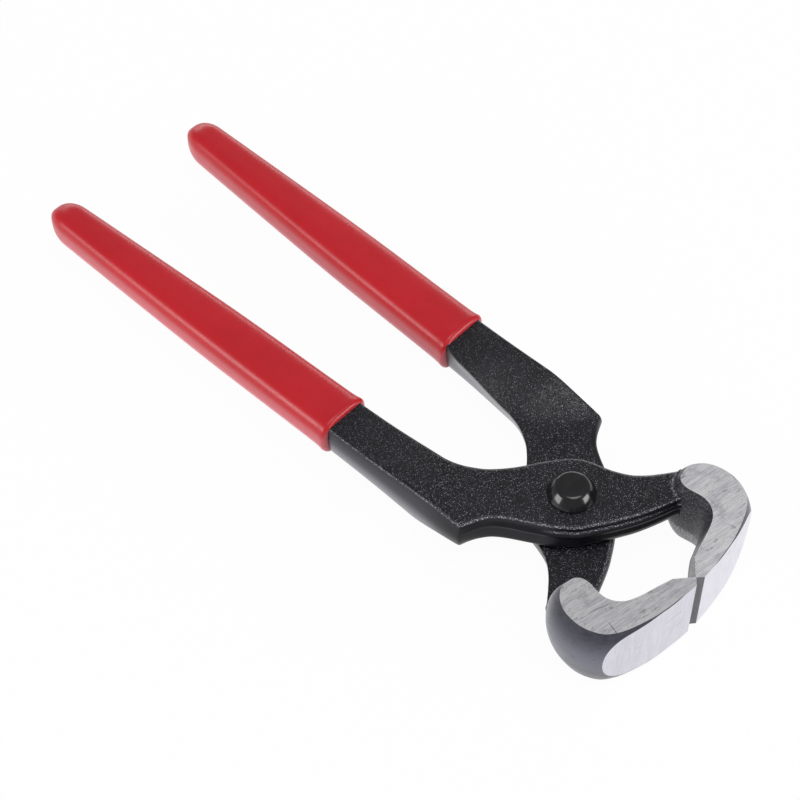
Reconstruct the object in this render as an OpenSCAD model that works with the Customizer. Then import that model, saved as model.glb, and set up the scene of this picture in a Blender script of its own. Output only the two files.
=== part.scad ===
// End cutting nippers: two forged levers lapped on one rivet, with dipped grips.
// The tool lies flat. X runs from the handles to the jaws, Z is up.
// The upper lever has its handle on the -Y side and its jaw on the +Y side.
// The lower lever is the same forging turned over about X.

/* [Reach] */
// From the rivet's axis to the front of the closed jaws
jaw_reach = 38.4; // [34:0.2:44]
// From the rivet's axis to the end of the upper lever's grip
upper_reach = 160.6; // [130:0.2:190]
// From the rivet's axis to the end of the lower lever's grip
lower_reach = 155.6; // [130:0.2:190]

/* [Jaws] */
// Length of the cutting edges, which is the height of the tool as it lies
jaw_w = 20.8; // [19:0.2:26]
// From the tool's centreline to the outer edge of a ground side face
jaw_spread = 27.6; // [25:0.2:32]
// How far the cutting edge lies behind the front of the jaws
edge_setback = 1.4; // [0.8:0.1:2.2]
// Width of the outer chamfer at the cutting edge, measured across the tool
tip_chamfer = 1.5; // [0.8:0.1:2.2]
// Depth of the inner bevel behind the cutting edge, along the tool
bevel_depth = 3.3; // [2:0.1:5]
// Slope of the inner bevel, from the centreline
bevel_angle = 48; // [35:1:60]
// Width of the flat left on each cutting edge
edge_land = 0.3; // [0.2:0.05:0.6]
// Gap between the closed cutting edges
edge_gap = 0.1; // [0.05:0.05:0.3]
// How far the jaw swells at half height, beyond its ground side faces
jaw_bulge = 2.3; // [0.5:0.1:3]

/* [Joint] */
// Radius of the round joint plates
joint_r = 10.2; // [9:0.1:12]
// Thickness of each joint plate and arm
plate_t = 6.8; // [5:0.1:8]
// Gap between the two joint plates
lap_gap = 0.06; // [0.04:0.02:0.2]
// How far the forged sides of the joint swell at half thickness
side_bulge = 1.4; // [0.2:0.1:1.8]
// How far the edge of the outer face is drawn in along the notch and the throat
notch_inset = 0.9; // [0.4:0.1:1.1]
// Length along the tool over which the crisp spur turns into the rounded notch
notch_turn = 4.5; // [3:0.5:6]
// Length along the tool over which the drawn-in edge runs out on the arm
inset_fade = 8.5; // [6:0.5:10]

/* [Rivet] */
// Diameter of the rivet's shank
shank_d = 7.4; // [5:0.1:9]
// Radial clearance of the shank in the lower lever
running_fit = 0.05; // [0.02:0.01:0.1]
// Diameter of a rivet head where it meets the plate
head_d = 11.8; // [10:0.1:14]
// Diameter of the flat on a rivet head
head_flat_d = 7.6; // [6:0.1:9]
// Height of a rivet head
head_h = 3.5; // [2:0.1:3.6]
// Height of the upright rim at the foot of a rivet head
head_rim_h = 0.5; // [0.2:0.1:1]

/* [Handles] */
// Thickness of a handle where it leaves its grip
handle_t = 9.4; // [8:0.1:11]
// Thickness of a handle at its end, inside the grip
handle_end_t = 7.4; // [6:0.1:9]
// How far the rounded sides of a handle stand beyond its flat face
handle_bulge = 0.8; // [0.2:0.1:1.2]
// Width of a handle's flat face next to the joint
handle_w = 11.4; // [11:0.1:15]
// Width of a handle's flat face at its end
handle_end_w = 4.2; // [4:0.1:8]
// How much wider a handle is at its middle than its two ends would make it
handle_belly = 0.9; // [0:0.1:2]
// From the rivet's axis back to where the straight part of a handle starts
handle_start = 29; // [26:0.5:33]
// From the tool's centreline to the middle of a handle where it starts
handle_offset = 18.7; // [16:0.1:20]
// From the tool's centreline to the middle of a handle at its end
handle_end_offset = 22.1; // [18:0.1:26]
// From the rivet's axis back to where the handle has its full thickness
level_start = 50; // [44:1:60]
// From the rivet's axis back to where the joint plate is level
level_end = 14; // [12.5:0.5:16]
// From the rivet's axis back to where the inner face starts to rise, next to the notch
late_level_start = 30; // [26:0.5:34]
// From the rivet's axis back to where the inner face is level, next to the notch
late_level_end = 10; // [9:0.5:12]
// From the rivet's axis back to where the inner face is level, next to the other handle
early_level_end = 26; // [22:0.5:30]
// Length over which a handle's inner side fills out, just before its grip
full_run = 2; // [1:0.1:2]

/* [Grips] */
// Length of the upper grip
upper_grip_len = 104.8; // [80:0.2:112]
// Length of the lower grip
lower_grip_len = 103.4; // [80:0.2:112]
// Wall of the dipped sleeve
grip_wall = 1.75; // [0.8:0.05:2]
// Wall of the sleeve at its mouth
mouth_wall = 1.3; // [0.8:0.05:2]
// Length of plastic beyond the end of the handle
grip_end_wall = 3.2; // [2:0.1:5]
// Length of the rounded end of a grip
grip_dome = 7.5; // [4:0.5:9]
// Rounding of the sleeve's mouth
grip_lip = 0.6; // [0.2:0.1:0.8]

/* [Hidden] */
$fn = 96;

// Overrun of the cutting shapes
overrun = 4;
// Steps drawn between two points of a smooth curve
curve_steps = 3;
// Half width of a jaw, from the parting plane to a ground side face
jaw_half = jaw_w / 2;
// Underside of an upper joint plate
plate_z = lap_gap / 2;
// Outer face of an upper joint plate
plate_top = plate_z + plate_t;
// The part stands on the lowest of its jaws and its rivet
base_z = max(jaw_half, plate_top + head_h);
// The part's origin is the middle of its box, and this puts the rivet there
pivot_x = (max(upper_reach, lower_reach) - jaw_reach) / 2;

// Sides of the forging from its outer face to its inner face: depth share, swell share.
// Inside a grip both sides of a handle are the same
handle_side_shares = [[0, 0], [0.06, 0.42], [0.2, 0.76], [0.5, 1], [0.8, 0.76], [0.94, 0.42], [1, 0]];
// Side of a handle that faces the other handle, between its grip and the joint
full_side_shares = [[0, 0], [0.06, 0.42], [0.2, 0.84], [0.5, 1.5], [0.76, 2.2], [0.92, 2.6], [1, 2.7]];
// Inner side round the joint
crotch_side_shares = [[0, 0], [0.07, 0.42], [0.24, 0.8], [0.48, 1.14], [0.7, 1.4], [0.88, 1.54], [1, 1.57]];
// Outer side at the spur, and along the notch and the throat
spur_side_shares = [[0, 0], [0.07, 0.36], [0.24, 0.66], [0.48, 0.94], [0.67, 1], [0.86, 0.9], [1, 0.78]];
notch_side_shares = [[0, 0], [0.08, 0.24], [0.32, 0.56], [0.6, 0.86], [0.81, 1], [0.93, 0.76], [1, 0.14]];

// Pairs of facing points on the two face edges, from the handle round the joint,
// as shares of joint_r: outer x, outer y, inner x, inner y. The spur ends the first table.
spur_shares = [
    [-2.20, -2.41, -2.57, -1.22], [-1.60, -2.435, -2.28, -1.11],
    [-1.24, -2.43, -2.01, -0.96]
];
joint_shares = [
    [-1.24, -2.43, -2.01, -0.96], [-1.13, -2.19, -1.87, -0.86],
    [-1.01, -1.97, -1.73, -0.73], [-0.85, -1.76, -1.57, -0.56],
    [-0.60, -1.57, -1.42, -0.38], [-0.31, -1.40, -1.27, -0.17],
    [-0.03, -1.24, -1.12, 0.07], [0.26, -1.07, -0.94, 0.32],
    [0.54, -0.87, -0.76, 0.56], [0.80, -0.63, -0.53, 0.78],
    [1.01, -0.32, -0.26, 0.93], [1.20, -0.04, 0.07, 1.03],
    [1.36, 0.23, 0.38, 1.14]
];
// The same pairs along the arm into the jaw, as shares of jaw_reach and jaw_spread
arm_shares = [
    [0.400, 0.185, 0.185, 0.482], [0.436, 0.301, 0.257, 0.571],
    [0.468, 0.417, 0.319, 0.675], [0.496, 0.529, 0.373, 0.775],
    [0.532, 0.652, 0.433, 0.853], [0.586, 0.760, 0.530, 0.900]
];
// Outline of a ground side face from the front round the back to the inside,
// as shares of jaw_reach and jaw_spread, with the share of jaw_bulge there
jaw_shares = [
    [1.022, -0.05, 0.90], [1.005, 0.07, 0.90], [0.990, 0.22, 0.90],
    [0.968, 0.45, 0.90], [0.945, 0.58, 0.90], [0.917, 0.70, 0.90],
    [0.883, 0.81, 0.90], [0.831, 0.91, 0.90], [0.768, 0.965, 0.90],
    [0.698, 0.995, 0.90], [0.625, 1.000, 0.95], [0.552, 0.982, 1.00],
    [0.492, 0.940, 1.10], [0.450, 0.880, 1.20], [0.426, 0.815, 1.30],
    [0.430, 0.750, 1.25], [0.442, 0.690, 1.10], [0.474, 0.650, 1.05],
    [0.520, 0.637, 1.00], [0.568, 0.645, 1.00], [0.615, 0.656, 1.00],
    [0.662, 0.655, 1.00], [0.705, 0.636, 1.00], [0.743, 0.600, 1.00],
    [0.774, 0.548, 1.00], [0.798, 0.475, 1.00], [0.820, 0.380, 0.95],
    [0.848, 0.240, 0.80], [0.905, 0.000, 0.60], [0.940, -0.05, 0.60]
];
// Front of the jaw as it is ground, from the chamfer outwards, in the same shares
front_shares = [
    [0.995, 0.16], [0.987, 0.29], [0.973, 0.435], [0.954, 0.575],
    [0.930, 0.70], [0.904, 0.81], [0.866, 0.95], [0.824, 1.10]
];
// Heights of the jaw's rings, as shares of jaw_half
ring_shares = [-1, -0.94, -0.82, -0.65, -0.45, -0.22, 0, 0.22, 0.45, 0.65, 0.82, 0.94, 1];

// Blend of a and b at share t
function mix(a, b, t) = a + (b - a) * t;

// Smooth step from 0 to 1
function ease(t) = let (u = min(max(t, 0), 1)) u * u * (3 - 2 * u);

// One point of the smooth curve through a, b, c and d, between b and c
function curve_point(a, b, c, d, t) =
    (2 * b + (c - a) * t + (2 * a - 5 * b + 4 * c - d) * t * t
    + (3 * b - a - 3 * c + d) * t * t * t) / 2;

// Smooth curve through all the points of a list
function smooth(p, steps) = let (last = len(p) - 1) [
    for (i = [0 : last - 1], k = [0 : steps - 1])
        curve_point(p[max(i - 1, 0)], p[i], p[i + 1], p[min(i + 2, last)], k / steps),
    p[last]
];

// Point of a plan at height z
function at_height(p, z) = [p[0], p[1], z];

// Unit vector to the right of the way from a to b
function right_of(a, b) = let (v = b - a) [v[1], -v[0]] / norm(v);

// Share of the way from handle level to joint level, at x, for a ramp between two places
function level(x, start = level_start, end = level_end) = ease((x + start) / (start - end));

// Top and underside of the forging at x, with the handle's own thickness there
function top_z(x, thick) = mix(thick / 2, plate_top, level(x));
function under_z(x, thick, start, end) = mix(-thick / 2, plate_z, level(x, start, end));

// Tang of a given reach, from share 0 at the handle's start to share 1 at its end
tang_steps = 22;
function tang_end(reach) = reach - grip_end_wall;
function tang_x(t, reach) = -mix(handle_start, tang_end(reach), t);
function tang_y(t) = -mix(handle_offset, handle_end_offset, t);
function tang_half_w(t) = mix(handle_w, handle_end_w, t) / 2 + 2 * handle_belly * t * (1 - t);
function tang_t(t) = mix(handle_t, handle_end_t, ease(t));
function tang_share(x, reach) = (-x - handle_start) / (tang_end(reach) - handle_start);

// How far the outer face's edge lies inside its table's line, at x
function inset(x) = notch_inset * ease((x + handle_start) / (handle_start - level_end))
    * (1 - ease((x - level_end) / inset_fade));

// Blend of two side tables
function mixed(a, b, t) = [for (i = [0 : len(a) - 1]) mix(a[i], b[i], t)];

// Side tables stretched to a swell in millimetres
function swollen(side_shares, swell) = [for (s = side_shares) [s[0], s[1] * swell]];

// Outer and inner side of the forging at x: depth shares, and swell in millimetres
function outer_side(x) = mixed(
    swollen(handle_side_shares, handle_bulge),
    swollen(
        mixed(spur_side_shares, notch_side_shares, ease((x + level_end) / notch_turn)),
        side_bulge + inset(x)
    ),
    level(x)
);
function inner_side(x) = mixed(
    swollen(
        mixed(handle_side_shares, full_side_shares, ease((x + level_start + full_run) / full_run)),
        handle_bulge
    ),
    swollen(crotch_side_shares, side_bulge),
    level(x)
);

// One ring of the forging across a pair of facing edge points, thick as given
function bar_ring(rung, thick) = let (
    inner = [rung[2], rung[3]],
    line = [rung[0], rung[1]],
    across = (inner - line) / norm(inner - line),
    outer = line + across * inset(line[0]),
    near = outer_side(outer[0]),
    far = inner_side(inner[0])
) concat(
    [for (s = near) at_height(outer - across * s[1],
        mix(top_z(outer[0], thick), under_z(outer[0], thick, late_level_start, late_level_end), s[0]))],
    [for (k = [len(far) - 1 : -1 : 0]) at_height(inner + across * far[k][1],
        mix(top_z(inner[0], thick), under_z(inner[0], thick, level_start, early_level_end), far[k][0]))]
);

// Pair of facing points on the tang
function tang_rung(t, reach) = let (x = tang_x(t, reach), y = tang_y(t), half = tang_half_w(t))
    [x, y - half, x, y + half];

// Rings of the tang from its end to the handle's start
function tang_rings(reach) = [
    for (k = [tang_steps : -1 : 0]) let (t = k / tang_steps) bar_ring(tang_rung(t, reach), tang_t(t))
];

// Pairs of points round the joint and along the arm, in millimetres
arm_scale = [jaw_reach, jaw_spread, jaw_reach, jaw_spread];
function scaled(v, s) = [for (i = [0 : len(v) - 1]) v[i] * s[i]];
spur_rungs = concat([tang_rung(0, upper_reach)], spur_shares * joint_r);
arm_rungs = concat(joint_shares * joint_r, [for (v = arm_shares) scaled(v, arm_scale)]);
near_rungs = concat(smooth(spur_rungs, curve_steps), smooth(arm_rungs, curve_steps));

// Closed solid through rings of points that all have the same even count.
// Its two ends are closed by ladders of triangles, so they may be hollow-sided.
module loft(rings) {
    count = len(rings[0]);
    end = (len(rings) - 1) * count;
    sides = [
        for (r = [0 : len(rings) - 2], i = [0 : count - 1]) let (
            a = r * count + i,
            b = r * count + (i + 1) % count
        ) each [[a, a + count, b], [b, a + count, b + count]]
    ];
    ends = [
        for (i = [0 : count / 2 - 2]) let (a = i, b = i + 1, c = count - 2 - i, d = count - 1 - i)
            each [[a, b, d], [b, c, d], [end + a, end + d, end + b], [end + b, end + d, end + c]]
    ];
    polyhedron(points = [for (r = rings) each r], faces = concat(sides, ends));
}

// Handle, joint plate and arm as one bar
module bar(reach) {
    loft(concat(tang_rings(reach), [for (i = [1 : len(near_rungs) - 1]) bar_ring(near_rungs[i], handle_t)]));
}

// The swelling jaw before its front and its cutting edge are ground
module jaw_blank() {
    outline = smooth([for (v = jaw_shares) scaled(v, [jaw_reach, jaw_spread, jaw_bulge])], curve_steps);
    count = len(outline);
    plan = [for (p = outline) [p[0], p[1]]];
    out = [for (i = [0 : count - 1]) right_of(plan[max(i - 1, 0)], plan[min(i + 1, count - 1)])];
    loft([for (s = ring_shares)
        [for (i = [0 : count - 1])
            at_height(plan[i] + out[i] * outline[i][2] * (1 - s * s), s * jaw_half)]]);
}

// Plan of what grinding leaves: front, chamfer, cutting edge and inner bevel.
// The bevel runs out of the swell behind it, and the hook beyond is left as forged.
module ground_plan() {
    edge_x = jaw_reach - edge_setback;
    edge_y = edge_gap / 2;
    bevel_run = bevel_depth + 2 * jaw_bulge;
    bevel_y = edge_y + bevel_run * tan(bevel_angle);
    front = smooth([for (v = front_shares) scaled(v, [jaw_reach, jaw_spread])], curve_steps);
    polygon(concat(
        [[edge_x - edge_land / 2, edge_y], [edge_x + edge_land / 2, edge_y], [jaw_reach, tip_chamfer]],
        front,
        [[front[len(front) - 1][0], 2 * jaw_spread], [0, 2 * jaw_spread],
        [0, bevel_y], [edge_x - bevel_run, bevel_y]]
    ));
}

module jaw() {
    intersection() {
        jaw_blank();
        translate([0, 0, -jaw_half - overrun]) linear_extrude(jaw_w + 2 * overrun) ground_plan();
    }
}

// A whole forging in the upper lever's position, with its rivet hole
module forging(reach, hole_d) {
    difference() {
        union() {
            bar(reach);
            jaw();
        }
        translate([0, 0, plate_z - overrun]) cylinder(h = plate_t + 2 * overrun, d = hole_d);
    }
}

// Outer ring of a sleeve, with its half width and half thickness
sleeve_sides = 28;
sleeve_power = 3.2;
function sleeve_ring(x, y, half_w, half_t) = [
    for (k = [0 : sleeve_sides - 1]) let (
        c = cos(-360 * k / sleeve_sides),
        s = sin(-360 * k / sleeve_sides),
        fill = 1 / pow(pow(abs(c), sleeve_power) + pow(abs(s), sleeve_power), 1 / sleeve_power)
    ) [x, y + half_w * c * fill, half_t * s * fill]
];

// Station of a sleeve at x, with its wall there, drawn in to a share of its full size
function sleeve_station(x, reach, wall, full_share) = let (
    t = tang_share(x, reach),
    half_w = tang_half_w(t) + handle_bulge + wall,
    half_t = tang_t(t) / 2 + wall
) sleeve_ring(x, tang_y(t), half_w * full_share, half_t * full_share);

// Stations from the mouth to the start of the rounded end, then round the end
sleeve_steps = 16;
dome_steps = 6;
dome_angle = 84;
function sleeve_rings(reach, length) = let (mouth = length - reach, dome = grip_dome - reach) concat(
    [sleeve_station(mouth, reach, mouth_wall - grip_lip, 1)],
    [for (k = [0 : sleeve_steps]) let (t = k / sleeve_steps)
        sleeve_station(mix(mouth - grip_lip, dome, t), reach, mix(mouth_wall, grip_wall, ease(2 * t)), 1)],
    [for (k = [1 : dome_steps]) let (a = dome_angle * k / dome_steps)
        sleeve_station(dome - grip_dome * sin(a), reach, grip_wall, cos(a))]
);

// Dipped sleeve in the upper lever's position, closed at its end and open for its lever
module grip(reach, length) {
    difference() {
        loft(sleeve_rings(reach, length));
        bar(reach);
    }
}

// Half of a rivet from the joint's mid plane up
module rivet_half() {
    rotate_extrude() polygon([
        [0, 0], [shank_d / 2, 0], [shank_d / 2, plate_top], [head_d / 2, plate_top],
        [head_d / 2, plate_top + head_rim_h], [head_flat_d / 2, plate_top + head_h],
        [0, plate_top + head_h]
    ]);
}

// Puts a piece built about the rivet's axis into the part's own frame
module placed() {
    translate([pivot_x, 0, base_z]) children();
}

// Turns a piece over about X
module turned_over() {
    rotate([180, 0, 0]) children();
}

module upper_lever() {
    color("#2b2b2f") placed() forging(upper_reach, shank_d);
}

module lower_lever() {
    color("#333338") placed() turned_over() forging(lower_reach, shank_d + 2 * running_fit);
}

module pivot_rivet() {
    color("#1f1f22") placed() {
        rivet_half();
        turned_over() rivet_half();
    }
}

module upper_grip() {
    color("#b62a33") placed() grip(upper_reach, upper_grip_len);
}

module lower_grip() {
    color("#b62a33") placed() turned_over() grip(lower_reach, lower_grip_len);
}

upper_lever();
lower_lever();
pivot_rivet();
upper_grip();
lower_grip();
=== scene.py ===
"""End cutting nippers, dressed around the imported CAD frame.

Sizes are in millimetres about the rivet's axis and the joint's middle plane, until a
piece is finished and put into the frame's metres. The upper lever has its handle on the
-Y side and its jaw on the +Y side, and the lower lever is the same forging turned over.
"""

import logging
import math
from dataclasses import dataclass
from enum import Enum
from functools import cached_property
from typing import Callable, Sequence

import bmesh
import bpy
from mathutils import Matrix, Vector
from mathutils.bvhtree import BVHTree


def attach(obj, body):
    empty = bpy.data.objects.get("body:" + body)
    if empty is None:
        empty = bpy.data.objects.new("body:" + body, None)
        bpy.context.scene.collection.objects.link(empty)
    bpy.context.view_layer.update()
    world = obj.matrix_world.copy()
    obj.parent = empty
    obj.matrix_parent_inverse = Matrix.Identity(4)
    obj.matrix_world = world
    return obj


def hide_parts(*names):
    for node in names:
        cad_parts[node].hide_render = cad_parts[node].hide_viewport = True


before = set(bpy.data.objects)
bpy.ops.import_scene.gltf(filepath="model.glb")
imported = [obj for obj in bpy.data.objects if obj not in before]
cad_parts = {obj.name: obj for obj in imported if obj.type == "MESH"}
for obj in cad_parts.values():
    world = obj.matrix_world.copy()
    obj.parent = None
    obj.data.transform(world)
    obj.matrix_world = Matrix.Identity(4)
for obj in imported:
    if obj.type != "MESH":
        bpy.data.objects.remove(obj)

log = logging.getLogger("nippers")

MILLIMETRE = 0.001

Row = tuple[float, ...]
Span = tuple[float, float]
Place = Callable[[int, int], Vector]
Faces = Sequence[bmesh.types.BMFace]
Socket = bpy.types.NodeSocket
Tone = Socket | Row
Value = Socket | float

SEAM_MM = 1e-5
"""The two edges of a seam lie closer together than this."""
WELD_MM = 2e-4
"""Points closer than this become one when a piece is finished."""
PROFILE_STEPS = 5
"""Steps drawn between two points of a side's profile."""
NOISE_SPAN: Span = (0.3, 0.7)
"""Most values of a noise lie in this span."""
CLOUD_SPAN: Span = (0.35, 0.7)
"""A cloudy tone turns into the next one over this span of its noise."""
DOME_SPAN: Span = (0.0, 0.75)
"""A pebble's dome falls over this span of the distance to its middle."""


class Surface(Enum):
    """What a patch of a forging is left like. The value is its material's index."""

    COATED = 0
    GROUND_FACE = 1
    GROUND_FRONT = 2
    CHAMFER = 3
    BARREL = 4
    HOOK = 5


# ---------------------------------------------------------------- curves and blends


def mix(a: float, b: float, t: float) -> float:
    """Blends two numbers."""
    return a + (b - a) * t


def clamp(value: float, low: float = 0.0, high: float = 1.0) -> float:
    """Keeps a number between two limits."""
    return min(max(value, low), high)


def ease(t: float) -> float:
    """Steps smoothly from 0 to 1."""
    u = clamp(t)
    return u * u * (3 - 2 * u)


def scaled(rows: Sequence[Row], *sizes: float) -> list[Row]:
    """Multiplies each column of a table by its size."""
    return [tuple(cell * size for cell, size in zip(row, sizes)) for row in rows]


def spline(p: float, q: float, r: float, s: float, t: float) -> float:
    """Gives the smooth curve through four even values, at the share t from q to r."""
    bend, twist = 2 * p - 5 * q + 4 * r - s, 3 * q - p - 3 * r + s
    return (2 * q + (r - p) * t + bend * t * t + twist * t * t * t) / 2


def smooth_rows(rows: Sequence[Row], steps: int) -> list[Row]:
    """Draws a smooth curve through all the rows of a table.

    Args:
        rows: The points, each a row of numbers of any length.
        steps: Steps drawn between two rows.

    Returns:
        The points of the curve, the first and last row among them.
    """
    last = len(rows) - 1
    curve = []
    for i in range(last):
        near = rows[max(i - 1, 0)], rows[i], rows[i + 1], rows[min(i + 2, last)]
        for k in range(steps):
            curve.append(tuple(spline(*four, k / steps) for four in zip(*near)))
    curve.append(tuple(rows[last]))
    return curve


def read_off(curve: Sequence[Row], at: float) -> float:
    """Reads a curve's second number where its rising first number is as given.

    Args:
        curve: Points in the order of their first numbers.
        at: The first number to look for.

    Returns:
        The second number there, or an end's one past the ends.
    """
    for low, high in zip(curve, curve[1:]):
        if at <= high[0]:
            return mix(low[1], high[1], clamp((at - low[0]) / max(high[0] - low[0], 1e-9)))
    return curve[-1][1]


def rounded(a: Row, corner: Row, b: Row, count: int = 6) -> list[Row]:
    """Draws a small round from a to b that bulges towards the corner.

    Args:
        a: Where the round starts.
        corner: The sharp corner that it takes the place of.
        b: Where the round ends.
        count: Points drawn, both ends among them.

    Returns:
        The points of the round.
    """
    points = []
    for k in range(count):
        t = k / (count - 1)
        w = (1 - t) ** 2, 2 * t * (1 - t), t * t
        points.append(tuple(w[0] * p + w[1] * q + w[2] * r for p, q, r in zip(a, corner, b)))
    return points


# ---------------------------------------------------------------- mesh making


def wrapped_sheet(bm: bmesh.types.BMesh, columns: int, rows: int, place: Place) -> Faces:
    """Lays a flat grid onto a tube, and closes its long seam.

    Args:
        bm: The mesh to add to.
        columns: Points around the tube.
        rows: Points along the tube.
        place: Gives the point for a column and a row.

    Returns:
        The faces of the tube.
    """
    made = bmesh.ops.create_grid(bm, x_segments=columns, y_segments=rows - 1, size=1.0)
    verts = made["verts"]
    for vert in verts:
        column = round((vert.co.x + 1) / 2 * columns) % columns
        row = round((vert.co.y + 1) / 2 * (rows - 1))
        vert.co = place(column, row)
    bmesh.ops.remove_doubles(bm, verts=verts, dist=SEAM_MM)
    return [face for face in bm.faces if face.is_valid]


def cap_ends(bm: bmesh.types.BMesh) -> Faces:
    """Closes the open ends of a tube with one flat face each, and returns them."""
    edges = [edge for edge in bm.edges if edge.is_boundary]
    return bmesh.ops.holes_fill(bm, edges=edges, sides=0)["faces"]


def mesh_object(bm: bmesh.types.BMesh, name: str) -> bpy.types.Object:
    """Turns a finished bmesh into an object of the scene, and frees the bmesh.

    Args:
        bm: The finished bmesh.
        name: The object's name for now.

    Returns:
        The new object.
    """
    mesh = bpy.data.meshes.new(name)
    bm.to_mesh(mesh)
    bm.free()
    obj = bpy.data.objects.new(name, mesh)
    bpy.context.scene.collection.objects.link(obj)
    return obj


class Cut(Enum):
    """How one solid is combined with another."""

    JOIN = "UNION"
    REMOVE = "DIFFERENCE"
    KEEP_COMMON = "INTERSECT"


def combine(base: bpy.types.Object, tool: bpy.types.Object, cut: Cut) -> None:
    """Combines a solid with another one, which is used up.

    Args:
        base: The solid that is kept.
        tool: The solid that it is combined with.
        cut: How they are combined.
    """
    modifier = base.modifiers.new("cut", "BOOLEAN")
    modifier.object = tool
    modifier.operation = cut.value
    modifier.solver = "MANIFOLD"
    graph = bpy.context.evaluated_depsgraph_get()
    result = bpy.data.meshes.new_from_object(base.evaluated_get(graph))
    base.modifiers.clear()
    old = base.data
    base.data = result
    bpy.data.meshes.remove(old)
    used = tool.data
    bpy.data.objects.remove(tool)
    bpy.data.meshes.remove(used)


def finish_mesh(obj: bpy.types.Object, matrix: Matrix, crease_deg: float) -> None:
    """Puts a piece built in millimetres into the frame, and shades it smooth.

    Args:
        obj: The piece.
        matrix: Carries its points from its own millimetres to the frame's metres.
        crease_deg: Edges sharper than this stay crisp.
    """
    bm = bmesh.new()
    bm.from_mesh(obj.data)
    bmesh.ops.remove_doubles(bm, verts=bm.verts, dist=WELD_MM)
    bmesh.ops.dissolve_degenerate(bm, edges=bm.edges, dist=SEAM_MM)
    bmesh.ops.transform(bm, matrix=matrix, verts=bm.verts)
    crease = math.radians(crease_deg)
    for face in bm.faces:
        face.smooth = True
    for edge in bm.edges:
        pair = edge.link_faces
        kinds = {face.material_index for face in pair}
        ground = len(kinds) > 1 and any(
            Surface.GROUND_FACE.value <= kind <= Surface.CHAMFER.value for kind in kinds
        )
        edge.smooth = not (ground or (len(pair) == 2 and edge.calc_face_angle(0.0) > crease))
    bm.to_mesh(obj.data)
    bm.free()
    obj.data.name = obj.name


# ---------------------------------------------------------------- finishes


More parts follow.
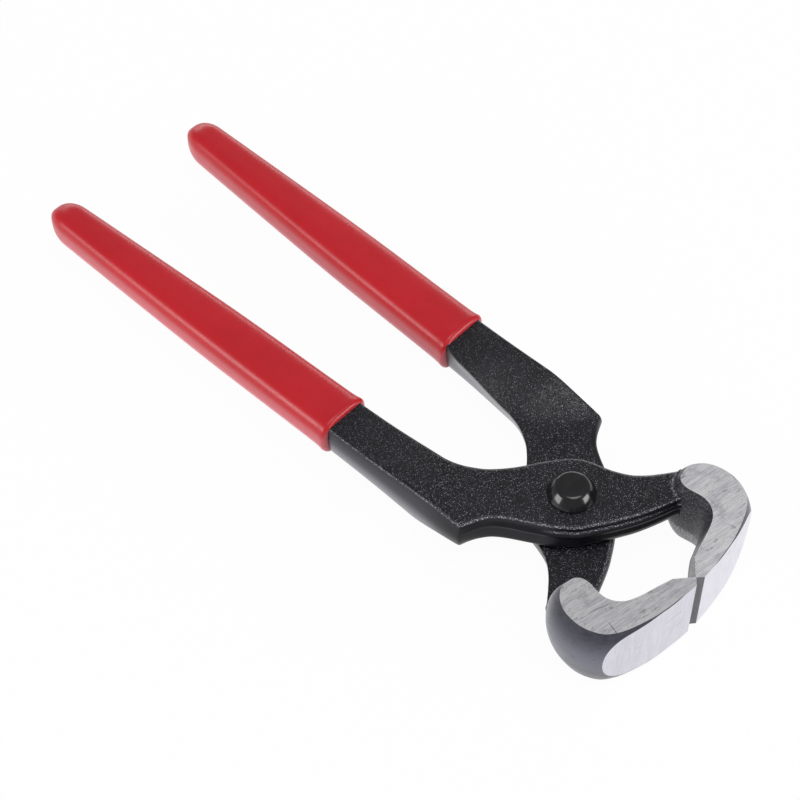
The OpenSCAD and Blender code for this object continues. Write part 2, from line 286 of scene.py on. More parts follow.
class NodeBench:
    """Lays out one material's nodes."""

    def __init__(self, name: str, surface: str = "ShaderNodeBsdfPrincipled") -> None:
        """Starts a material with one surface shader.

        Args:
            name: The material's name.
            surface: The kind of shader that feeds the surface.
        """
        self.material = bpy.data.materials.new(name)
        self.material.use_nodes = True
        self.tree = self.material.node_tree
        self.tree.nodes.clear()
        self.shader = self.add(surface)
        output = self.add("ShaderNodeOutputMaterial")
        self.link(self.shader.outputs[0], output.inputs["Surface"])

    @cached_property
    def coordinates(self) -> bpy.types.Node:
        """The node that gives places and normals on the object."""
        return self.add("ShaderNodeTexCoord")

    @cached_property
    def at(self) -> Socket:
        """The place on the object in millimetres."""
        return self.mapped()

    @cached_property
    def xyz(self) -> tuple[Socket, ...]:
        """The three numbers of the place on the object, in millimetres."""
        return self.split(self.at)

    @cached_property
    def facing_up(self) -> Socket:
        """How far the surface faces up, from -1 to 1."""
        return self.split(self.coordinates.outputs["Normal"])[2]

    def add(self, kind: str, **settings: object) -> bpy.types.Node:
        """Adds a node. Words that name an input socket set it, others set the node.

        Args:
            kind: The node's type.
            settings: Values by the name of a socket or a property.

        Returns:
            The new node.
        """
        node = self.tree.nodes.new(kind)
        for key, value in settings.items():
            socket = node.inputs.get(key.replace("_", " ").title())
            if socket is not None:
                socket.default_value = value
            else:
                setattr(node, key, value)
        return node

    def link(self, source: Socket, target: Socket) -> None:
        """Joins two sockets."""
        self.tree.links.new(source, target)

    def split(self, source: Socket) -> tuple[Socket, ...]:
        """Splits a vector into its three numbers.

        Args:
            source: The vector.

        Returns:
            The three numbers.
        """
        node = self.add("ShaderNodeSeparateXYZ")
        self.link(source, node.inputs[0])
        return tuple(node.outputs)

    def mapped(self, scale: Row = (1, 1, 1), turn_deg: float = 0.0) -> Socket:
        """Gives object coordinates in millimetres.

        Args:
            scale: Stretches the pattern: a larger number packs it closer along that axis.
            turn_deg: Turns the pattern about Z.

        Returns:
            The coordinate output.
        """
        turned = self.add("ShaderNodeMapping", vector_type="POINT", scale=(1 / MILLIMETRE,) * 3)
        turned.inputs["Rotation"].default_value = (0, 0, math.radians(turn_deg))
        self.link(self.coordinates.outputs["Object"], turned.inputs["Vector"])
        if scale == (1, 1, 1):
            return turned.outputs[0]
        stretched = self.add("ShaderNodeMapping", vector_type="POINT", scale=scale)
        self.link(turned.outputs[0], stretched.inputs["Vector"])
        return stretched.outputs[0]

    def noise(
        self, per_mm: float, detail: float = 3.0, rough: float = 0.55, at: Socket | None = None
    ) -> Socket:
        """Adds a noise of a given fineness, and returns its 0 to 1 output.

        Args:
            per_mm: How fine the noise is.
            detail: How many finer noises it holds.
            rough: How strong the finer ones are.
            at: The place it is read at, if a stretched one.

        Returns:
            The noise, from 0 to 1.
        """
        node = self.add("ShaderNodeTexNoise", scale=per_mm, detail=detail, roughness=rough)
        self.link(at or self.at, node.inputs["Vector"])
        return node.outputs[0]

    def pebbles(self, per_mm: float) -> tuple[Socket, Socket]:
        """Adds a cell pattern, and gives the distance to a cell's middle and its own shade.

        Args:
            per_mm: How many cells fit into a millimetre.

        Returns:
            The distance to a cell's middle, and the cell's own random shade.
        """
        node = self.add("ShaderNodeTexVoronoi", scale=per_mm)
        self.link(self.at, node.inputs["Vector"])
        return node.outputs["Distance"], node.outputs["Color"]

    def ramp(
        self, value: Socket, low: float, high: float, start: float = 0.0, end: float = 1.0
    ) -> Socket:
        """Maps a value smoothly from low..high to start..end.

        Args:
            value: The value to map.
            low: The value that gives the start.
            high: The value that gives the end.
            start: What comes out up to low.
            end: What comes out from high on.

        Returns:
            The mapped value.
        """
        node = self.add(
            "ShaderNodeMapRange", interpolation_type="SMOOTHSTEP",
            from_min=low, from_max=high, to_min=start, to_max=end,
        )
        self.link(value, node.inputs["Value"])
        return node.outputs[0]

    def fall(self, value: Socket, low: float, high: float) -> Socket:
        """Falls smoothly from 1 at the low value to 0 at the high one."""
        return self.ramp(value, low, high, 1.0, 0.0)

    def math(self, operation: str, a: Socket, b: Value = 0.0) -> Socket:
        """Does a sum with one or two values.

        Args:
            operation: The kind of sum.
            a: The first value.
            b: The second value.

        Returns:
            The result.
        """
        node = self.add("ShaderNodeMath", operation=operation)
        self.link(a, node.inputs[0])
        if isinstance(b, Socket):
            self.link(b, node.inputs[1])
        else:
            node.inputs[1].default_value = b
        return node.outputs[0]

    def times(self, product: Socket, *factors: Value) -> Socket:
        """Multiplies a value by one or more others.

        Args:
            product: The first value.
            factors: The values that it is multiplied by.

        Returns:
            The product.
        """
        for factor in factors:
            product = self.math("MULTIPLY", product, factor)
        return product

    def larger(self, a: Socket, b: Socket) -> Socket:
        """Gives the larger of two values."""
        return self.math("MAXIMUM", a, b)

    def away(self, value: Socket, middle: float = 0.0) -> Socket:
        """Gives how far a value lies from a middle, on either side of it."""
        return self.math("ABSOLUTE", self.math("SUBTRACT", value, middle))

    def turned_height(self, middle: float) -> Socket:
        """Gives the height above a middle plane, its sign turned on the tool's -Y half."""
        _, y, z = self.xyz
        return self.times(self.math("SUBTRACT", z, middle), self.math("SIGN", y))

    def tint(self, factor: Socket, a: Tone, b: Tone) -> Socket:
        """Blends one colour into another by a 0 to 1 factor.

        Args:
            factor: The share of the second colour.
            a: The first colour.
            b: The second colour.

        Returns:
            The blended colour.
        """
        node = self.add("ShaderNodeMix", data_type="RGBA")
        self.link(factor, node.inputs[0])
        for tone, socket in ((a, node.inputs[6]), (b, node.inputs[7])):
            if isinstance(tone, Socket):
                self.link(tone, socket)
            else:
                socket.default_value = (*tone, 1)
        return node.outputs[2]

    def bump(self, height: Socket, depth_mm: float) -> None:
        """Raises the surface by a height field of a given depth.

        Args:
            height: The height field.
            depth_mm: The depth between 0 and 1 of the field.
        """
        node = self.add("ShaderNodeBump", strength=1.0, distance=depth_mm * MILLIMETRE)
        self.link(height, node.inputs["Height"])
        self.drive("Normal", node.outputs[0])

    def set(self, **values: object) -> None:
        """Sets plain numbers or colours on the surface shader's own sockets.

        Args:
            values: Values by the name of a socket, in small letters.
        """
        for key, value in values.items():
            name = key.replace("_", " ").title().replace("Ior", "IOR")
            self.shader.inputs[name].default_value = value

    def drive(self, name: str, source: Socket) -> None:
        """Feeds one of the surface shader's sockets."""
        self.link(source, self.shader.inputs[name])


@dataclass(frozen=True)
class SpeckledCoat:
    """Pebbled black coating on the forging, smoother on the rounded sides of the handles."""

    name: str = "speckled_black_coat"
    dark: Row = (0.0028, 0.0028, 0.0052)
    worn: Row = (0.0060, 0.0060, 0.0098)
    sparkle: Row = (0.46, 0.46, 0.52)
    slope_sheen: Row = (0.065, 0.065, 0.078)
    glint: Row = (0.80, 0.80, 0.86)
    reflected_strip: Row = (0.26, 0.26, 0.29)
    sleek: Row = (0.050, 0.050, 0.060)
    sleek_painted_light: Row = (0.30, 0.30, 0.335)
    cloud_per_mm: float = 0.16
    cloud: Span = (0.35, 0.68)
    grain_per_mm: float = 2.3
    grain_mm: float = 0.085
    fine_step: float = 2.2
    fine_noise: Span = (2.0, 0.6)
    fine_share: float = 0.35
    dome_shades: Span = (0.35, 1.0)
    sparkle_step: float = 1.6
    rough: Span = (0.26, 0.42)
    specular: float = 0.34
    sleek_metal: float = 0.85
    sleek_polish: float = 0.06
    sparkle_chance: Span = (0.46, 0.88)
    sparkle_edge: Span = (0.20, 0.34)
    slope_share: float = 0.7
    handle_slopes: float = 0.22
    handle_sparkles: float = 0.5
    side_grain: float = 0.15
    strip_top: float = 0.2
    slope_normals: tuple[Span, Span] = ((0.42, 0.62), (0.82, 0.93))
    face_normals: Span = (0.30, 0.52)
    flat_normals: Span = (0.93, 0.98)
    side_normals: Span = (0.62, 0.88)
    low_normals: Span = (-0.30, 0.05)
    middle_mm: float = 10.4
    calm_mm: Span = (15.0, 48.0)
    handle_mm: Span = (36.0, 46.0)
    joint_mm: Span = (46.0, 48.0)
    notch_mm: Span = (60.0, 67.0)
    notch_away_mm: Span = (6.1, 6.6)
    ridge_away_mm: tuple[Span, Span] = ((2.3, 2.8), (4.8, 5.3))
    outer_half_mm: Span = (18.5, 21.0)
    sleek_rise_mm: Span = (-2.5, 5.5)
    strip_mm: Span = (7.5, 13.0)

    def make(self) -> bpy.types.Material:
        """Lays out the coating: pebbles, fine grain, cloudy tone and small bright dots of painted
        sparkle, with painted highlights and glints on the slopes and painted light on the handles'
        smooth sides.

        Returns:
            The finished material.
        """
        bench = NodeBench(self.name)
        fine = bench.noise(self.grain_per_mm * self.fine_step, *self.fine_noise)
        cell_way, cell_shade = bench.pebbles(self.grain_per_mm)
        sparkle_way, sparkle_shade = bench.pebbles(self.grain_per_mm * self.sparkle_step)
        sleek, reflected_strip = self.sleekness(bench)
        slopes, faces = self.slopes(bench)
        cloud = bench.ramp(bench.noise(self.cloud_per_mm), *self.cloud)
        tone = bench.tint(cloud, self.dark, self.worn)
        # Painted highlight: the slopes beside the flat faces are tinted lighter.
        tone = bench.tint(bench.times(slopes, self.slope_share), tone, self.slope_sheen)
        # Painted sparkle: small bright dots stand in for the pebbled grains catching the light,
        # with more of them on the slopes.
        sparkles = bench.times(
            bench.larger(bench.ramp(sparkle_shade, *self.sparkle_chance), slopes),
            bench.fall(sparkle_way, *self.sparkle_edge),
            faces,
            bench.ramp(bench.xyz[0], *self.calm_mm, self.handle_sparkles, 1.0),
        )
        tone = bench.tint(sparkles, tone, self.sparkle)
        # Painted glint: sparkle that lies on the slopes turns nearly white.
        tone = bench.tint(bench.times(sparkles, slopes), tone, self.glint)
        # Painted light: the handles' smooth sides lighten towards the upper lever's lower edge and
        # the lower lever's upper edge.
        rise = bench.ramp(bench.turned_height(self.middle_mm), *self.sleek_rise_mm)
        tone = bench.tint(sleek, tone, bench.tint(rise, self.sleek, self.sleek_painted_light))
        # Painted reflection: a light band of reflected floor low on the handles' inner sides, where
        # they face down.
        bench.drive("Base Color", bench.tint(reflected_strip, tone, self.reflected_strip))
        bench.drive("Metallic", bench.times(sleek, self.sleek_metal))
        rough = bench.ramp(fine, *NOISE_SPAN, *self.rough)
        polish = bench.times(sleek, self.sleek_polish)
        bench.drive("Roughness", bench.math("SUBTRACT", rough, polish))
        shades = bench.ramp(cell_shade, 0.0, 1.0, *self.dome_shades)
        domes = bench.times(bench.fall(cell_way, *DOME_SPAN), shades)
        height = bench.math("ADD", domes, bench.times(fine, self.fine_share))
        calm = bench.ramp(faces, 0.0, 1.0, self.side_grain, 1.0)
        bench.bump(bench.times(height, calm), self.grain_mm)
        bench.set(specular_ior_level=self.specular)
        return bench.material

    def slopes(self, bench: NodeBench) -> tuple[Socket, Socket]:
        """Finds the slopes beside the flat faces, and all that isn't an upright side.

        Args:
            bench: The node bench of the coating.

        Returns:
            Shares of the slopes that get painted highlights and sparkle, and of the grainy faces,
            both nil on the rolled ridge.
        """
        along, _, high = bench.xyz
        level = bench.away(bench.facing_up)
        away = bench.away(high, self.middle_mm)
        joint = bench.ramp(along, *self.joint_mm)
        notch = bench.times(
            joint, bench.fall(along, *self.notch_mm), bench.fall(away, *self.notch_away_mm)
        )
        start, end = self.ridge_away_mm
        ridge = bench.times(bench.ramp(away, *start), bench.fall(away, *end))
        quiet = bench.larger(notch, bench.times(joint, ridge))
        quiet = bench.times(quiet, bench.fall(level, *self.flat_normals))
        loud = bench.fall(quiet, 0.0, 1.0)
        start, end = self.slope_normals
        slopes = bench.times(bench.fall(level, *end), bench.ramp(level, *start))
        handle = bench.ramp(along, *self.joint_mm, self.handle_slopes, 1.0)
        faces = bench.ramp(level, *self.face_normals)
        return bench.times(slopes, handle, loud), bench.times(faces, loud)

    def sleekness(self, bench: NodeBench) -> tuple[Socket, Socket]:
        """Finds the handles' smooth sides, and the band low on their inner sides that gets a
        painted floor reflection.

        Args:
            bench: The node bench of the coating.

        Returns:
            Shares of the smooth sides and of the painted reflection band.
        """
        x, y, z = bench.xyz
        upright = bench.fall(bench.away(bench.facing_up), *self.side_normals)
        sides = bench.times(upright, bench.fall(x, *self.handle_mm))
        outside = bench.ramp(bench.away(y), *self.outer_half_mm)
        smooth = bench.larger(outside, bench.fall(bench.facing_up, *self.low_normals))
        inside = bench.math("SUBTRACT", smooth, outside)
        reflected_strip = bench.times(inside, bench.ramp(z, *self.strip_mm, 1.0, self.strip_top))
        return bench.times(sides, smooth), bench.times(sides, reflected_strip)


@dataclass(frozen=True)
class GroundSteel:
    """Bare steel with parallel grinding marks, smudges and a few deeper scratches; where asked for,
    a painted shade towards -Y and a painted reflection about the middle plane.
    """

    name: str
    bright: Row
    dull: Row
    roughness: float
    marks: Row
    turn_deg: float = 0.0
    mark_mm: float = 0.006
    smudge: float = 0.5
    stain: float = 0.0
    nick: float = 1.0
    lower_shade: float = 0.0
    middle_reflection: Row | None = None
    middle_mm: float = 10.4
    middle_away_mm: Span = (1.0, 9.0)
    lower_mm: Span = (-3.0, 3.0)
    streaks: Span = (0.38, 0.60)
    smudges: Span = (0.52, 0.72)
    stains: Span = (0.56, 0.66)
    fine_noise: Row = (1.0, 3.0, 0.6)
    coarse_noise: Row = (0.22, 4.0, 0.65)
    smudge_noise: Row = (0.3, 5.0, 0.7)
    stain_noise: Row = (0.9, 5.0, 0.75)
    stain_stretch: Row = (1.0, 0.45, 1.0)
    smudge_depth: float = 0.62
    stain_depth: float = 0.3
    fine_share: float = 0.55
    roughness_swing: float = 0.07
    nick_tone: Row = (0.06, 0.06, 0.07)
    nick_depth: float = 0.8
    nick_noise: Span = (1.0, 1.0)
    nick_sets: tuple[tuple[Row, float, Row], ...] = (
        ((1.1, 0.05, 1.1), 8.0, (0.72, 0.75, 0.0, 0.7)),
        ((1.3, 0.07, 1.3), 96.0, (0.745, 0.77, 0.0, 0.8)),
    )

    def make(self) -> bpy.types.Material:
        """Lays out the ground steel.

        Returns:
            The finished material.
        """
        bench = NodeBench(self.name)
        along = bench.mapped(self.marks, self.turn_deg)
        fine = bench.times(bench.noise(*self.fine_noise, along), self.fine_share)
        coarse = bench.times(bench.noise(*self.coarse_noise, along), 1 - self.fine_share)
        streak = bench.math("ADD", fine, coarse)
        base = bench.tint(bench.ramp(streak, *self.streaks), self.dull, self.bright)
        stretched = bench.mapped(self.stain_stretch, self.turn_deg)
        smudged = bench.noise(*self.smudge_noise)
        stained = bench.noise(*self.stain_noise, stretched)
        for cloud, span, share, depth in (
            (smudged, self.smudges, self.smudge, self.smudge_depth),
            (stained, self.stains, self.stain, self.stain_depth),
        ):
            shade = bench.ramp(cloud, *span, 0.0, share)
            base = bench.tint(shade, base, tuple(c * depth for c in self.dull))
        # Painted shade: the steel darkens towards -Y, where the lower lever's jaw lies.
        lower = bench.ramp(bench.xyz[1], *self.lower_mm, self.lower_shade, 0.0)
        base = bench.tint(lower, base, (0.0, 0.0, 0.0))
        # Painted reflection: the steel is tinted lighter about the middle plane, where the barrel
        # bulges out.
        if self.middle_reflection:
            away = bench.away(bench.xyz[2], self.middle_mm)
            base = bench.tint(bench.fall(away, *self.middle_away_mm), base, self.middle_reflection)
        nick = bench.times(self.nicks(bench), self.nick)
        bench.drive("Base Color", bench.tint(nick, base, self.nick_tone))
        swing = self.roughness + self.roughness_swing, self.roughness - self.roughness_swing
        bench.drive("Roughness", bench.ramp(streak, *NOISE_SPAN, *swing))
        bench.bump(bench.math("SUBTRACT", streak, bench.times(nick, self.nick_depth)), self.mark_mm)
        bench.set(metallic=1.0)
        return bench.material

    def nicks(self, bench: NodeBench) -> Socket:
        """Finds two sets of scratches: along the marks, and a rarer one across them.

        Args:
            bench: The node bench of the steel.

        Returns:
            The share of scratched steel.
        """
        shares = []
        for spread, turn, limits in self.nick_sets:
            stretched = bench.mapped(spread, self.turn_deg + turn)
            shares.append(bench.ramp(bench.noise(*self.nick_noise, at=stretched), *limits))
        return bench.larger(*shares)


@dataclass(frozen=True)
class HookScale:
    """Inside of the hook: coated by the arm, and worn to a pitted grey near the edge."""

    pivot_mm: float
    name: str = "pitted_hook"
    coat: SpeckledCoat = SpeckledCoat()
    grey: Row = (0.36, 0.36, 0.385)
    pit: Row = (0.04, 0.04, 0.046)
    crumb: Row = (0.085, 0.085, 0.10)
    pit_per_mm: float = 2.2
    pit_noise: Span = (3.0, 0.7)
    pits: Span = (0.45, 0.52)
    crumb_noise: Row = (2.6, 2.0, 0.6)
    crumbs: Span = (0.50, 0.60)
    bare_from_mm: float = 29.5
    bare_to_mm: float = 33.5
    free_side_mm: Span = (-5.0, -1.0)
    free_side_share: float = 0.62
    grain_share: float = 0.7
    worn: Span = (0.55, 0.95)
    worn_metal: float = 0.7
    dome_share: float = 0.4
    rough: Span = (0.38, 0.55)

    def make(self) -> bpy.types.Material:
        """Lays out the worn inner face, which goes from coated to bare along X.

        Returns:
            The finished material.
        """
        bench = NodeBench(self.name)
        grain = bench.noise(self.pit_per_mm, *self.pit_noise)
        cell_way, _ = bench.pebbles(self.pit_per_mm)
        way = bench.ramp(
            bench.xyz[0], self.pivot_mm + self.bare_from_mm, self.pivot_mm + self.bare_to_mm
        )
        height = bench.turned_height(self.coat.middle_mm)
        free = bench.ramp(height, *self.free_side_mm, self.free_side_share, 0.0)
        way = bench.math("ADD", bench.larger(way, free), bench.times(grain, self.grain_share))
        worn = bench.ramp(way, *self.worn)
        bare = bench.tint(bench.fall(grain, *self.pits), self.grey, self.pit)
        crumbs = bench.ramp(bench.noise(*self.crumb_noise), *self.crumbs)
        coated = bench.tint(crumbs, self.coat.dark, self.crumb)
        bench.drive("Base Color", bench.tint(worn, coated, bare))
        bench.drive("Metallic", bench.times(worn, self.worn_metal))
        bench.drive("Roughness", bench.ramp(grain, *NOISE_SPAN, *self.rough))
        domes = bench.times(bench.fall(cell_way, *DOME_SPAN), self.dome_share)
        bench.bump(bench.math("ADD", domes, grain), self.coat.grain_mm)
        return bench.material


@dataclass(frozen=True)
class GlossBlack:
    """Smooth gloss black of the rivet."""

    name: str = "gloss_black_rivet"
    colour: Row = (0.005, 0.005, 0.006)
    dulled: Row = (0.008, 0.008, 0.010)
    cloud_noise: Span = (0.5, 4.0)
    patches: Span = (0.4, 0.7)
    rough: Span = (0.13, 0.20)
    peel_noise: Span = (1.4, 2.0)
    peel_mm: float = 0.008
    specular: float = 0.5

    def make(self) -> bpy.types.Material:
        """Lays out the gloss black, with a faint orange peel and dulled patches.

        Returns:
            The finished material.
        """
        bench = NodeBench(self.name)
        cloud = bench.noise(*self.cloud_noise)
        patches = bench.ramp(cloud, *self.patches)
        bench.drive("Base Color", bench.tint(patches, self.colour, self.dulled))
        bench.drive("Roughness", bench.ramp(cloud, *CLOUD_SPAN, *self.rough))
        bench.bump(bench.noise(*self.peel_noise), self.peel_mm)
        bench.set(specular_ior_level=self.specular)
        return bench.material


@dataclass(frozen=True)
class DippedPlastic:
    """Smooth red plastic that the handles were dipped into."""

    name: str = "dipped_red_plastic"
    colour: Row = (0.495, 0.006, 0.014)
    deep: Row = (0.455, 0.005, 0.012)
    floor_reflection: Row = (1.0, 0.50, 0.58)
    dust: Row = (0.75, 0.45, 0.45)
    cloud_per_mm: float = 0.05
    dust_per_mm: float = 0.45
    dust_from: float = 0.86
    dust_edge: Span = (0.03, 0.07)
    dust_share: float = 0.55
    low_normals: Span = (-0.75, 0.25)
    rough: Span = (0.32, 0.37)
    sheen_per_mm: float = 0.3
    wave_mm: float = 0.018
    wave_noise: Span = (0.22, 2.0)
    wave_stretch: Row = (0.35, 1, 1)
    peel_noise: Span = (1.6, 2.0)
    peel_share: float = 0.012
    specular: float = 0.42

    def make(self) -> bpy.types.Material:
        """Lays out the plastic: cloudy red, a painted floor reflection that grows as the surface
        faces down, soft waves of the dip, and a few dust specks.

        Returns:
            The finished material.
        """
        bench = NodeBench(self.name)
        cloud = bench.ramp(bench.noise(self.cloud_per_mm), *CLOUD_SPAN)
        red = bench.tint(cloud, self.colour, self.deep)
        # Painted reflection: the red turns pale pink as the surface faces down, for the pale floor
        # that it mirrors.
        red = bench.tint(bench.fall(bench.facing_up, *self.low_normals), red, self.floor_reflection)
        dust_way, dust_shade = bench.pebbles(self.dust_per_mm)
        rare = bench.math("GREATER_THAN", dust_shade, self.dust_from)
        speck = bench.times(rare, bench.ramp(dust_way, *self.dust_edge, self.dust_share, 0.0))
        bench.drive("Base Color", bench.tint(speck, red, self.dust))
        sheen = bench.noise(self.sheen_per_mm)
        bench.drive("Roughness", bench.ramp(sheen, *NOISE_SPAN, *self.rough))
        waves = bench.noise(*self.wave_noise, at=bench.mapped(self.wave_stretch))
        peel = bench.times(bench.noise(*self.peel_noise), self.peel_share)
        bench.bump(bench.math("ADD", waves, peel), self.wave_mm)
        bench.set(specular_ior_level=self.specular)
        return bench.material


# ---------------------------------------------------------------- the forging


@dataclass
class Forging:
    """One lever: handle tang, joint plate, arm and jaw, in the upper lever's position."""

    reach: float
    hole_d: float
    finishes: dict[Surface, bpy.types.Material]
    jaw_reach: float = 38.4
    jaw_w: float = 20.8
    jaw_spread: float = 27.6
    edge_setback: float = 1.4
    tip_chamfer: float = 1.5
    bevel_depth: float = 3.3
    bevel_deg: float = 48.0
    edge_land: float = 0.3
    edge_gap: float = 0.1
    jaw_bulge: float = 2.3
    joint_r: float = 10.2
    plate_t: float = 6.8
    lap_gap: float = 0.06
    side_bulge: float = 1.4
    handle_t: float = 9.4
    handle_end_t: float = 7.4
    handle_bulge: float = 0.8
    handle_w: float = 11.4
    handle_end_w: float = 4.2
    handle_belly: float = 0.9
    handle_start: float = 29.0
    handle_offset: float = 18.7
    handle_end_offset: float = 22.1
    level_start: float = 50.0
    level_end: float = 14.0
    grip_end_wall: float = 3.2
    notch_inset: float = 0.9
    notch_turn: float = 4.5
    inset_fade: float = 8.5
    late_level_start: float = 30.0
    late_level_end: float = 10.0
    early_level_end: float = 26.0
    full_run: float = 2.0
    edge_round: float = 0.45
    crisp_round: float = 0.15
    throat_round: float = 2.6
    foot_run: float = 10.0
    flash_h: float = 0.28
    flash_start: float = 16.0
    flash_run: float = 14.0
    ridge: Span = (0.34, 0.045)
    hollow: Span = (0.17, 0.09)
    hollow_share: float = 0.8
    fillet_r: float = 0.9
    block_over: float = 2.0
    facing: float = 0.2
    fillet_spread: float = 0.4
    mating_clear: float = 0.02
    tang_rows: int = 34
    corner_rounds: int = 2
    corner_reach: int = 2
    curve_steps: int = 8
    side_steps: int = 28
    jaw_layers: int = 41
    hole_sides: int = 96
    cap_points: int = 9

    handle_side: tuple[Row, ...] = (
        (0, 0), (0.06, 0.42), (0.2, 0.76), (0.5, 1), (0.8, 0.76), (0.94, 0.42), (1, 0)
    )
    full_side: tuple[Row, ...] = (
        (0, 0), (0.06, 0.42), (0.2, 0.84), (0.5, 1.5), (0.76, 2.2), (0.92, 2.6), (1, 2.7)
    )
    spur_side: tuple[Row, ...] = (
        (0, 0), (0.07, 0.36), (0.24, 0.66), (0.48, 0.94), (0.67, 1), (0.86, 0.90), (1, 0.78)
    )
    notch_side: tuple[Row, ...] = (
        (0, 0), (0.08, 0.24), (0.32, 0.56), (0.60, 0.86), (0.81, 1), (0.93, 0.76), (1, 0.14)
    )
    crotch_side: tuple[Row, ...] = (
        (0, 0), (0.07, 0.42), (0.24, 0.8), (0.48, 1.14), (0.70, 1.4), (0.88, 1.54), (1, 1.57)
    )
    spur: tuple[Row, ...] = (
        (-2.20, -2.41, -2.57, -1.22), (-1.60, -2.435, -2.28, -1.11), (-1.24, -2.43, -2.01, -0.96)
    )
    joint: tuple[Row, ...] = (
        (-1.24, -2.43, -2.01, -0.96), (-1.13, -2.19, -1.87, -0.86), (-1.01, -1.97, -1.73, -0.73),
        (-0.85, -1.76, -1.57, -0.56), (-0.60, -1.57, -1.42, -0.38), (-0.31, -1.40, -1.27, -0.17),
        (-0.03, -1.24, -1.12, 0.07), (0.26, -1.07, -0.94, 0.32), (0.54, -0.87, -0.76, 0.56),
        (0.80, -0.63, -0.53, 0.78), (1.01, -0.32, -0.26, 0.93), (1.20, -0.04, 0.07, 1.03),
        (1.36, 0.23, 0.38, 1.14),
    )
    arm: tuple[Row, ...] = (
        (0.400, 0.185, 0.185, 0.482), (0.436, 0.301, 0.257, 0.571), (0.468, 0.417, 0.319, 0.675),
        (0.496, 0.529, 0.373, 0.775), (0.532, 0.652, 0.433, 0.853), (0.586, 0.760, 0.530, 0.900),
    )
    jaw: tuple[Row, ...] = (
        (1.022, -0.05, 0.90), (1.005, 0.07, 0.90), (0.990, 0.22, 0.90), (0.968, 0.45, 0.90),
        (0.945, 0.58, 0.90), (0.917, 0.70, 0.90), (0.883, 0.81, 0.90), (0.831, 0.91, 0.90),
        (0.768, 0.965, 0.90), (0.698, 0.995, 0.90), (0.625, 1.000, 0.95), (0.552, 0.982, 1.00),
        (0.492, 0.940, 1.10), (0.450, 0.880, 1.20), (0.426, 0.815, 1.30), (0.430, 0.750, 1.25),
        (0.442, 0.690, 1.10), (0.474, 0.650, 1.05), (0.520, 0.637, 1.00), (0.568, 0.645, 1.00),
        (0.615, 0.656, 1.00), (0.662, 0.655, 1.00), (0.705, 0.636, 1.00), (0.743, 0.600, 1.00),
        (0.774, 0.548, 1.00), (0.798, 0.475, 1.00), (0.820, 0.380, 0.95), (0.848, 0.240, 0.80),
        (0.905, 0.000, 0.60), (0.940, -0.05, 0.60),
    )
    back_row: int = 14
    front: tuple[Row, ...] = (
        (0.995, 0.16), (0.987, 0.29), (0.973, 0.435), (0.954, 0.575),
        (0.930, 0.70), (0.904, 0.81), (0.866, 0.95), (0.824, 1.10),
    )

    @property
    def jaw_half(self) -> float:
        """Half the width of a jaw."""
        return self.jaw_w / 2

    @property
    def plate_z(self) -> float:
        """Underside of the joint plate."""
        return self.lap_gap / 2

    @property
    def plate_top(self) -> float:
        """Outer face of the joint plate."""
        return self.plate_z + self.plate_t

    def level(self, x: float) -> float:
        """Gives the share of the way from handle level to joint level, at x."""
        return ease((x + self.level_start) / (self.level_start - self.level_end))

    def under(self, x: float, thick: float, outer: bool) -> float:
        """Gives the height of the inner face at x, by the notch or by the other handle.

        Args:
            x: Where the face is.
            thick: Thickness of the handle there.
            outer: Whether it is by the notch and the throat.

        Returns:
            The height of the inner face.
        """
        start = self.late_level_start if outer else self.level_start
        end = self.late_level_end if outer else self.early_level_end
        return mix(-thick / 2, self.plate_z, ease((x + start) / (start - end)))

    def tang_share(self, x: float) -> float:
        """Gives the share of the way along the tang, at x."""
        return (-x - self.handle_start) / (self.reach - self.grip_end_wall - self.handle_start)

    def tang_y(self, t: float) -> float:
        """Gives the middle of the tang."""
        return -mix(self.handle_offset, self.handle_end_offset, t)

    def tang_half_w(self, t: float) -> float:
        """Gives half the width of the tang's flat face."""
        return mix(self.handle_w, self.handle_end_w, t) / 2 + 2 * self.handle_belly * t * (1 - t)

    def tang_t(self, t: float) -> float:
        """Gives the thickness of the tang."""
        return mix(self.handle_t, self.handle_end_t, ease(t))

    def rungs(self) -> list[tuple[Row, float]]:
        """Lists the pairs of facing edge points from the tang's end to the arm's end.

        Returns:
            Rows of outer x, outer y, inner x, inner y, each with the thickness there.
        """
        pairs = []
        for k in range(self.tang_rows, -1, -1):
            t = k / self.tang_rows
            x = -mix(self.handle_start, self.reach - self.grip_end_wall, t)
            y, half = self.tang_y(t), self.tang_half_w(t)
            pairs.append(((x, y - half, x, y + half), self.tang_t(t)))
        joint_size = (self.joint_r,) * 4
        spur = [pairs[-1][0]] + scaled(self.spur, *joint_size)
        arm = scaled(self.joint, *joint_size)
        arm += scaled(self.arm, self.jaw_reach, self.jaw_spread, self.jaw_reach, self.jaw_spread)
        near = smooth_rows(spur, self.curve_steps)[1:]
        corner = len(near) - 1
        near += smooth_rows(arm, self.curve_steps)[1:]
        near = self.eased_corner(near, corner)
        return pairs + [(row, self.handle_t) for row in near]

    def eased_corner(self, rows: list[Row], corner: int) -> list[Row]:
        """Rounds the outer edge where the straight handle turns into the notch.

        Args:
            rows: Pairs of facing edge points.
            corner: The row that the corner is in.

        Returns:
            The rows with the corner eased.
        """
        for _ in range(self.corner_rounds):
            rows = [
                row
                if abs(i - corner) > self.corner_reach
                else tuple((a + 2 * b + c) / 4 for a, b, c in zip(rows[i - 1], row, rows[i + 1]))
                for i, row in enumerate(rows)
            ]
        return rows

    def inset(self, x: float) -> float:
        """Gives how far the outer face edge lies inside its table's line, at x.

        Args:
            x: Where the edge is.

        Returns:
            The distance, which is largest by the notch.
        """
        grow = ease((x + self.handle_start) / (self.handle_start - self.level_end))
        fade = ease((x - self.level_end) / self.inset_fade)
        return self.notch_inset * grow * (1 - fade)

